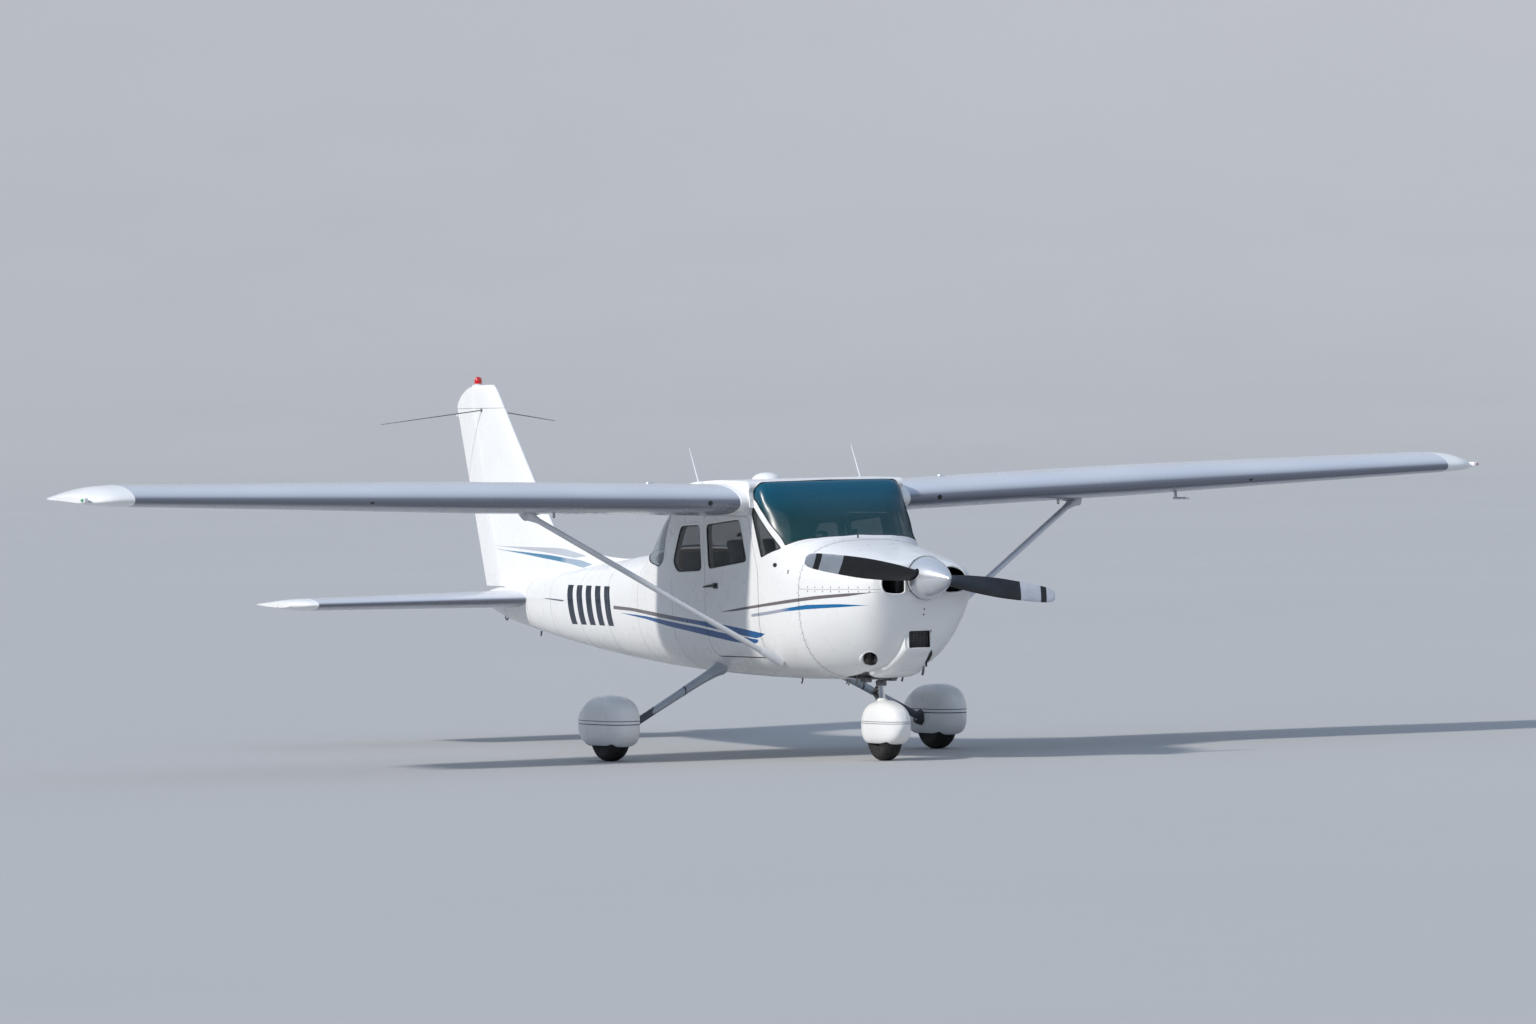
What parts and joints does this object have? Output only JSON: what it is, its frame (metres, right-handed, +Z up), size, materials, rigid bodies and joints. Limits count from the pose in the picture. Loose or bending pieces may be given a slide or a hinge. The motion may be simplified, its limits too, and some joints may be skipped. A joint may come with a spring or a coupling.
{
  "type": "light aircraft",
  "caption": "High-wing, strut-braced cabin aircraft with a nose propeller, fixed nosewheel gear in wheel fairings, swept fin, hinged doors and moving control surfaces.",
  "frame": {"origin": "on the ground, below the middle of the overall box", "axes": "+X to the port side, +Y aft, +Z up"},
  "size_m": [10.91, 8.058, 2.7316],
  "materials": {
    "white_paint": "gloss white paint on sheet metal",
    "white_shell": "gloss white painted fibre shell",
    "leg_paint": "pale grey paint on spring steel",
    "clear_pane": "clear acrylic",
    "tinted_pane": "blue-green tinted acrylic",
    "steel": "bright steel",
    "rim": "satin wheel rim",
    "tyre": "black tyre rubber",
    "spinner": "satin silver",
    "blade": "charcoal paint with pale tips",
    "casting": "grey casting",
    "trim": "dark grey trim",
    "cream_trim": "cream cabin lining",
    "seat_cloth": "blue-grey seat cloth",
    "red_lens": "red lens",
    "aerial": "black covered rod"
  },
  "bodies": {
    "airframe": {"cabin_shell": "white_paint", "tail_cone": "white_paint", "cowl_upper": "white_shell", "cowl_lower": "white_shell", "engine": "casting", "exhaust_pipe": "steel", "windscreen": "tinted_pane", "rear_window": "clear_pane", "quarter_window_left": "tinted_pane", "quarter_window_right": "tinted_pane", "rear_side_window_left": "clear_pane", "rear_side_window_right": "clear_pane", "wing_left": "white_paint", "wing_right": "white_paint", "wing_tip_left": "white_shell", "wing_tip_right": "white_shell", "wing_strut_left": "white_paint", "wing_strut_right": "white_paint", "tailplane": "white_paint", "fin": "white_paint", "beacon": "red_lens", "nav_aerial_left": "aerial", "nav_aerial_right": "aerial", "roof_dome": "white_shell", "pitot_tube": "steel", "nose_gear_cylinder": "steel", "main_gear_leg_left": "leg_paint", "main_gear_leg_right": "leg_paint", "main_wheel_fairing_left": "white_shell", "main_wheel_fairing_right": "white_shell", "cabin_floor": "trim", "rear_bulkhead": "cream_trim", "instrument_panel": "trim", "control_wheel_left": "trim", "control_wheel_right": "trim", "front_seat_left": "seat_cloth", "front_seat_right": "seat_cloth", "rear_bench": "seat_cloth"},
    "propeller_and_spinner": {"propeller": "blade", "spinner": "spinner"},
    "nose_gear": {"nose_fork": "steel", "nose_wheel_fairing": "white_shell"},
    "nose_wheel": {"nose_tyre": "tyre", "nose_rim": "rim"},
    "main_wheel_left": {"main_tyre_left": "tyre", "main_rim_left": "rim"},
    "main_wheel_right": {"main_tyre_right": "tyre", "main_rim_right": "rim"},
    "cabin_door_left": {"door_left": "white_paint", "door_window_left": "clear_pane"},
    "cabin_door_right": {"door_right": "white_paint", "door_window_right": "clear_pane"},
    "baggage_hatch": {"baggage_door": "white_paint"},
    "flap_panel_left": {"flap_left": "white_paint"},
    "flap_panel_right": {"flap_right": "white_paint"},
    "aileron_panel_left": {"aileron_left": "white_paint"},
    "aileron_panel_right": {"aileron_right": "white_paint"},
    "elevator_surface": {"elevator": "white_paint"},
    "rudder_surface": {"rudder": "white_paint"}
  },
  "joints": [
    {"name": "propeller_spin", "type": "hinge", "parent": "airframe", "child": "propeller_and_spinner", "pos_m": [0, -3.734, 1.275], "axis": [0, 1, 0], "continuous": true},
    {"name": "nose_steer", "type": "hinge", "parent": "airframe", "child": "nose_gear", "pos_m": [0, -2.984, 0.178], "axis": [0, 0.1045, 0.9945], "range_deg": [-30, 30]},
    {"name": "nose_wheel_spin", "type": "hinge", "parent": "nose_gear", "child": "nose_wheel", "pos_m": [0, -2.984, 0.178], "axis": [1, 0, 0], "continuous": true},
    {"name": "main_wheel_left_spin", "type": "hinge", "parent": "airframe", "child": "main_wheel_left", "pos_m": [1.293, -1.265, 0.215], "axis": [1, 0, 0], "continuous": true},
    {"name": "main_wheel_right_spin", "type": "hinge", "parent": "airframe", "child": "main_wheel_right", "pos_m": [-1.293, -1.265, 0.215], "axis": [1, 0, 0], "continuous": true},
    {"name": "cabin_door_left_swing", "type": "hinge", "parent": "airframe", "child": "cabin_door_left", "pos_m": [0.579, -2.202, 1.2], "axis": [0, 0, -1], "range_deg": [0, 70]},
    {"name": "cabin_door_right_swing", "type": "hinge", "parent": "airframe", "child": "cabin_door_right", "pos_m": [-0.579, -2.202, 1.2], "axis": [0, 0, 1], "range_deg": [0, 70]},
    {"name": "baggage_door_swing", "type": "hinge", "parent": "airframe", "child": "baggage_hatch", "pos_m": [0.542, -0.712, 1.075], "axis": [0, 0, -1], "range_deg": [0, 90]},
    {"name": "flap_left_lower", "type": "hinge", "parent": "airframe", "child": "flap_panel_left", "pos_m": [1.586, -0.9019, 1.7018], "axis": [-0.9993, 0, -0.0386], "range_deg": [0, 40]},
    {"name": "flap_right_lower", "type": "hinge", "parent": "airframe", "child": "flap_panel_right", "pos_m": [-1.586, -0.9019, 1.7018], "axis": [-0.9993, 0, 0.0386], "range_deg": [0, 40]},
    {"name": "aileron_left_turn", "type": "hinge", "parent": "airframe", "child": "aileron_panel_left", "pos_m": [2.56, -0.9019, 1.8694], "axis": [0.9965, -0.074, 0.038], "range_deg": [-17.5, 17.5]},
    {"name": "aileron_right_turn", "type": "hinge", "parent": "airframe", "child": "aileron_panel_right", "pos_m": [-2.56, -0.9019, 1.8694], "axis": [0.9965, 0.074, -0.038], "range_deg": [-17.5, 17.5]},
    {"name": "elevator_turn", "type": "hinge", "parent": "airframe", "child": "elevator_surface", "pos_m": [0, 3.261, 1.068], "axis": [1, 0, 0], "range_deg": [-23, 28]},
    {"name": "rudder_turn", "type": "hinge", "parent": "airframe", "child": "rudder_surface", "pos_m": [0, 3.161, 1.15], "axis": [0, 0.3487, 0.9372], "range_deg": [-17.5, 17.5]}
  ],
  "couplings": [
    {"joint": "flap_right_lower", "follows": "flap_left_lower", "ratio": 1},
    {"joint": "aileron_right_turn", "follows": "aileron_left_turn", "ratio": -1}
  ]
}
